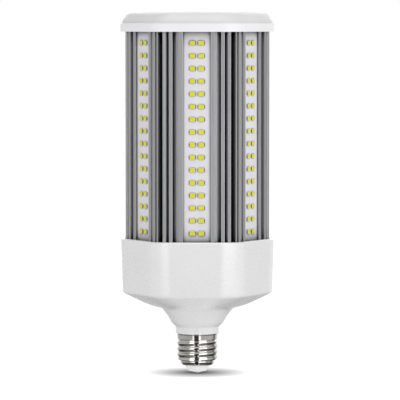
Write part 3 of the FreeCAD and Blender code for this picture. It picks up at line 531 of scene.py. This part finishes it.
def make_shell():
    """The rolled screw shell: a rolled mouth, a thread that is a true helix, a skirt and a lip."""
    foot = low("screw_shell")
    top = high("screw_shell")
    thread_foot = foot + 5.0 * MM
    thread_top = top - 4.2 * MM
    mouth_radius = 7.6 * MM
    wall = 0.5 * MM
    outside = soften([
        (8.7 * MM, foot),
        (10.0 * MM, foot + 0.1 * MM),
        (10.6 * MM, foot + 1.0 * MM),
        (10.9 * MM, foot + 2.3 * MM),
        (10.7 * MM, foot + 2.7 * MM),
        (11.9 * MM, foot + 3.3 * MM),
        (THREAD_ROOT, thread_foot),
    ], [0.4 * MM, 0.4 * MM, 0.3 * MM, 0.2 * MM, 0.4 * MM])
    for row in range(1, THREAD_ROWS):
        outside.append((THREAD_ROOT, thread_foot + (thread_top - thread_foot) * row / THREAD_ROWS))
    outside += soften([
        (THREAD_ROOT, thread_top),
        (12.85 * MM, top - 3.7 * MM),
        (12.95 * MM, top - 0.75 * MM),
        (13.35 * MM, top - 0.5 * MM),
        (13.4 * MM, top - 0.05 * MM),
        (13.2 * MM, top),
        (11.8 * MM, top),
    ], [0.1 * MM, 0.2 * MM, 0.1 * MM, 0.1 * MM, 0.05 * MM], steps=3)
    inside = [(11.7 * MM, thread_foot), (mouth_radius, foot + wall), (mouth_radius, foot)]
    turns = [2 * math.pi * step / POINTS_AROUND for step in range(POINTS_AROUND)]
    rings = []
    for radius, height in outside:
        rings.append(turned_ring([radius + thread_rise(turn, height, foot, top) for turn in turns], height))
    for radius, height in inside:
        rings.append(turned_ring([radius] * POINTS_AROUND, height))
    walls = skin(rings, closed=True)
    shell = new_piece("shell", walls, MATERIALS["nickel_shell"], smooth_angle=50)
    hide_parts("screw_shell")


# LEDs, whose sizes are across the board, up it and out from it

CHIP_ROWS = 16
CHIP_HEIGHT = 2.8 * MM
CHIP_THICKNESS = 0.7 * MM
CHIP_OFFSET = 2.75 * MM
BOARD_SURFACE = 38.9 * MM
WINDOW_SIZE = (3.2 * MM, 2.6 * MM, 0.12 * MM)
WINDOW_SINK = 0.03 * MM
WINDOW_LEAN = 0.12 * MM
SOLDER_SIZE = (0.44 * MM, 2.2 * MM, 0.4 * MM)
SOLDER_OFFSET = 1.98 * MM
SOLDER_LEAN = 0.1 * MM


def add_block(bm, place, size, lean):
    """A box in a bmesh, centred and turned by a matrix, its outer face drawn in by lean."""
    half = Vector(size) / 2
    corners = []
    for z in (-1, 1):
        shrink = lean if z > 0 else 0.0
        for x, y in ((-1, -1), (1, -1), (1, 1), (-1, 1)):
            corner = Vector((x * (half.x - shrink), y * (half.y - shrink), z * half.z))
            corners.append(bm.verts.new(place @ corner))
    for face in ((3, 2, 1, 0), (4, 5, 6, 7), (0, 1, 5, 4), (1, 2, 6, 5), (2, 3, 7, 6), (3, 0, 4, 7)):
        bm.faces.new([corners[index] for index in face])


def chip_spots(node):
    """The centres of one strip's chips, as places across the board and heights."""
    lowest = low(node) + CHIP_HEIGHT / 2
    highest = high(node) - CHIP_HEIGHT / 2
    pitch = (highest - lowest) / (CHIP_ROWS - 1)
    return [(side * CHIP_OFFSET, lowest + pitch * row) for row in range(CHIP_ROWS) for side in (-1, 1)]


def make_strip(number):
    """The phosphor windows and the solder at both ends of each LED of one strip, the solder coloured dark
    as painted shade.
    """
    turn = Matrix.Rotation(SIDE_ANGLE * (number - 1), 4, "Z")
    face_outward = Matrix.Rotation(math.pi / 2, 4, "X")
    window_middle = BOARD_SURFACE + CHIP_THICKNESS + WINDOW_SIZE[2] / 2 - WINDOW_SINK
    solder_middle = BOARD_SURFACE + SOLDER_SIZE[2] / 2
    windows, solder = bmesh.new(), bmesh.new()
    for across, height in chip_spots("led_chips_%d" % number):
        place = turn @ Matrix.Translation((across, -window_middle, height)) @ face_outward
        add_block(windows, place, WINDOW_SIZE, WINDOW_LEAN)
        for end in (-SOLDER_OFFSET, SOLDER_OFFSET):
            place = turn @ Matrix.Translation((across + end, -solder_middle, height)) @ face_outward
            add_block(solder, place, SOLDER_SIZE, SOLDER_LEAN)
    new_piece("phosphor_windows_%d" % number, windows, PHOSPHOR)
    new_piece("solder_joints_%d" % number, solder, SOLDER_IN_PAINTED_SHADE)


soften_sink()
make_housing()
make_ring()
make_cover()
make_shell()
for strip in range(1, SIDES + 1):
    make_strip(strip)


# Floor

FLOOR_REACH = 6.0
FLOOR_GREY = 0.20
FLOOR_GLOW = 0.74

# The camera's glow fades to nothing towards the foot: a painted shadow over the real shadow on the matt
# part
# The shade at the bulb's foot: how far its middle lies behind the axis, and the radii where it fades
PAINTED_SHADOW_SHIFT = 4 * MM
PAINTED_SHADOW_INNER = 5 * MM
PAINTED_SHADOW_OUTER = 36 * MM


def floor_material():
    """Seen by the camera as white but for the shade at the bulb's foot, partly painted, and by gloss not at
    all.
    """
    material = bpy.data.materials.new("floor_white")
    material.use_nodes = True
    tree = material.node_tree
    tree.nodes.clear()
    rays = tree.nodes.new("ShaderNodeLightPath")
    place = tree.nodes.new("ShaderNodeTexCoord")
    reach = tree.nodes.new("ShaderNodeVectorMath")
    reach.operation = "LENGTH"
    feed(tree, reach.inputs[0], place.outputs["Object"])
    lift = tree.nodes.new("ShaderNodeMix")
    feed(tree, lift.inputs["Factor"], rays.outputs["Is Camera Ray"])
    feed(tree, lift.inputs["A"], FLOOR_GLOW)
    # Painted shadow: for the camera the glow fades to nothing towards the bulb's foot
    feed(tree, lift.inputs["B"], map_range(tree, reach.outputs["Value"], PAINTED_SHADOW_INNER, PAINTED_SHADOW_OUTER))
    matte = tree.nodes.new("ShaderNodeBsdfDiffuse")
    matte.inputs["Color"].default_value = (FLOOR_GREY, FLOOR_GREY, FLOOR_GREY, 1)
    glow = tree.nodes.new("ShaderNodeEmission")
    feed(tree, glow.inputs["Strength"], lift.outputs["Result"])
    both = tree.nodes.new("ShaderNodeAddShader")
    feed(tree, both.inputs[0], matte.outputs[0])
    feed(tree, both.inputs[1], glow.outputs[0])
    through = tree.nodes.new("ShaderNodeBsdfTransparent")
    choose = tree.nodes.new("ShaderNodeMixShader")
    feed(tree, choose.inputs["Fac"], rays.outputs["Is Glossy Ray"])
    feed(tree, choose.inputs[1], both.outputs[0])
    feed(tree, choose.inputs[2], through.outputs[0])
    output = tree.nodes.new("ShaderNodeOutputMaterial")
    feed(tree, output.inputs["Surface"], choose.outputs[0])
    return material


def make_floor():
    """A flat floor, its middle under the middle of the shade."""
    bm = bmesh.new()
    bmesh.ops.create_grid(bm, x_segments=1, y_segments=1, size=FLOOR_REACH)
    mesh = bpy.data.meshes.new("floor")
    bm.to_mesh(mesh)
    bm.free()
    mesh.materials.append(floor_material())
    floor = bpy.data.objects.new("floor", mesh)
    floor.location.y = PAINTED_SHADOW_SHIFT
    bpy.context.scene.collection.objects.link(floor)


# Studio

# The room in the gloss, a dark front between two bright strips. Each stop is an angle in degrees from the
# camera towards +X, and a strength.
STUDIO = [
    (-180, 0.90), (-160, 0.90), (-146, 0.60), (-118, 0.45), (-105, 0.50), (-60, 0.50), (-29, 0.55),
    (-26, 1.7), (-20, 1.7), (-18, 0.04), (8, 0.04), (10, 1.9), (19, 1.9), (22, 0.60), (60, 0.60),
    (100, 0.50), (108, 0.18), (122, 0.20), (134, 0.80), (180, 0.90),
]

# How strongly that room shows at heights over the horizon, in degrees
LEVELS = [
    (-90, 0.6), (-62, 0.5), (-42, 0.10), (-26, 0.10), (-14, 1.0), (28, 1.0), (44, 0.30), (60, 0.7),
    (90, 1.0),
]

# Light on matt surfaces: the plain level, what the two sides add to it, and the power that gathers it there
PLAIN_LIGHT = 0.12
SIDE_LIGHT = 1.5
SIDE_POWER = 4.0

# Lamps: azimuth and elevation in degrees, distance, width and height in metres, and power in watts
LAMPS = {
    "left_softbox": (-36, 12, 0.6, 0.24, 0.5, 0.63),
    "right_softbox": (38, 12, 0.6, 0.44, 0.5, 1.25),
    "back_softbox": (176, 28, 0.9, 0.9, 0.7, 2.0),
    "top_light": (0, 80, 1.2, 0.9, 0.9, 6.5),
}
LAMP_AIM = Vector((0, 0, 0.115))


def make_world():
    """White for the camera, light from the sides for matt surfaces, and a room with gaps for the gloss."""
    world = bpy.data.worlds.new("studio")
    bpy.context.scene.world = world
    world.use_nodes = True
    tree = world.node_tree
    rays = tree.nodes.new("ShaderNodeLightPath")
    place = tree.nodes.new("ShaderNodeTexCoord")
    split = tree.nodes.new("ShaderNodeSeparateXYZ")
    feed(tree, split.inputs[0], place.outputs["Generated"])
    across, back, up = split.outputs["X"], split.outputs["Y"], split.outputs["Z"]
    azimuth = math_step(tree, "ARCTAN2", across, math_step(tree, "MULTIPLY", back, -1.0))
    round_stops = [((degrees + 180) / 360, strength) for degrees, strength in STUDIO]
    level_stops = [((math.sin(math.radians(degrees)) + 1) / 2, strength) for degrees, strength in LEVELS]
    room_round = grey_ramp(tree, map_range(tree, azimuth, -math.pi, math.pi), round_stops)
    room_levels = grey_ramp(tree, map_range(tree, up, -1.0, 1.0), level_stops)
    room = color_mix(tree, "MULTIPLY", 1.0, room_round, room_levels)
    sideways = math_step(tree, "POWER", across, SIDE_POWER)
    matt_light = math_step(tree, "MULTIPLY_ADD", sideways, SIDE_LIGHT, PLAIN_LIGHT)
    shown = color_mix(tree, "MIX", rays.outputs["Is Glossy Ray"], matt_light, room)
    seen = color_mix(tree, "MIX", rays.outputs["Is Camera Ray"], shown, (1, 1, 1, 1))
    feed(tree, tree.nodes["Background"].inputs["Color"], seen)


def add_softbox(name, azimuth, elevation, distance, width, height, power):
    """An area lamp aimed at the middle of the bulb. Azimuth 0 stands at the camera, 90 at +X."""
    turn, rise = math.radians(azimuth), math.radians(elevation)
    toward = Vector((math.sin(turn) * math.cos(rise), -math.cos(turn) * math.cos(rise), math.sin(rise)))
    lamp = bpy.data.lights.new(name, "AREA")
    lamp.shape = "RECTANGLE"
    lamp.size = width
    lamp.size_y = height
    lamp.energy = power
    box = bpy.data.objects.new(name, lamp)
    box.location = LAMP_AIM + toward * distance
    box.rotation_mode = "QUATERNION"
    box.rotation_quaternion = toward.to_track_quat("Z", "Y")
    bpy.context.scene.collection.objects.link(box)


# Camera, from rows and columns of the photograph's frame and the size of one pixel at the bulb

FRAME_WIDTH = 400
PIXEL = 0.638 * MM
FOOT_ROW = 373.8
EYE_ROW = 20
AXIS_COLUMN = 197.4
CAMERA_DISTANCE = 3300 * PIXEL
CAMERA_AZIMUTH = math.radians(0.5)
SENSOR_WIDTH = 36


def make_camera():
    """The photograph's view: level with the ring, looking a little down, from some two metres."""
    eye_height = (FOOT_ROW - EYE_ROW) * PIXEL
    aim_height = (FOOT_ROW - FRAME_WIDTH / 2) * PIXEL
    aim_across = (FRAME_WIDTH / 2 - AXIS_COLUMN) * PIXEL
    side = Vector((math.cos(CAMERA_AZIMUTH), math.sin(CAMERA_AZIMUTH), 0))
    back = Vector((math.sin(CAMERA_AZIMUTH), -math.cos(CAMERA_AZIMUTH), 0))
    aim = side * aim_across + Vector((0, 0, aim_height))
    camera_data = bpy.data.cameras.new("camera")
    camera_data.sensor_width = SENSOR_WIDTH
    camera = bpy.data.objects.new("camera", camera_data)
    camera.location = side * aim_across + back * CAMERA_DISTANCE + Vector((0, 0, eye_height))
    sight = camera.location - aim
    camera_data.lens = SENSOR_WIDTH * sight.length / (FRAME_WIDTH * PIXEL)
    camera.rotation_mode = "QUATERNION"
    camera.rotation_quaternion = sight.to_track_quat("Z", "Y")
    bpy.context.scene.collection.objects.link(camera)
    bpy.context.scene.camera = camera


make_floor()
make_world()
for lamp_name, setting in LAMPS.items():
    add_softbox(lamp_name, *setting)
make_camera()
bpy.context.scene.view_settings.view_transform = "Standard"
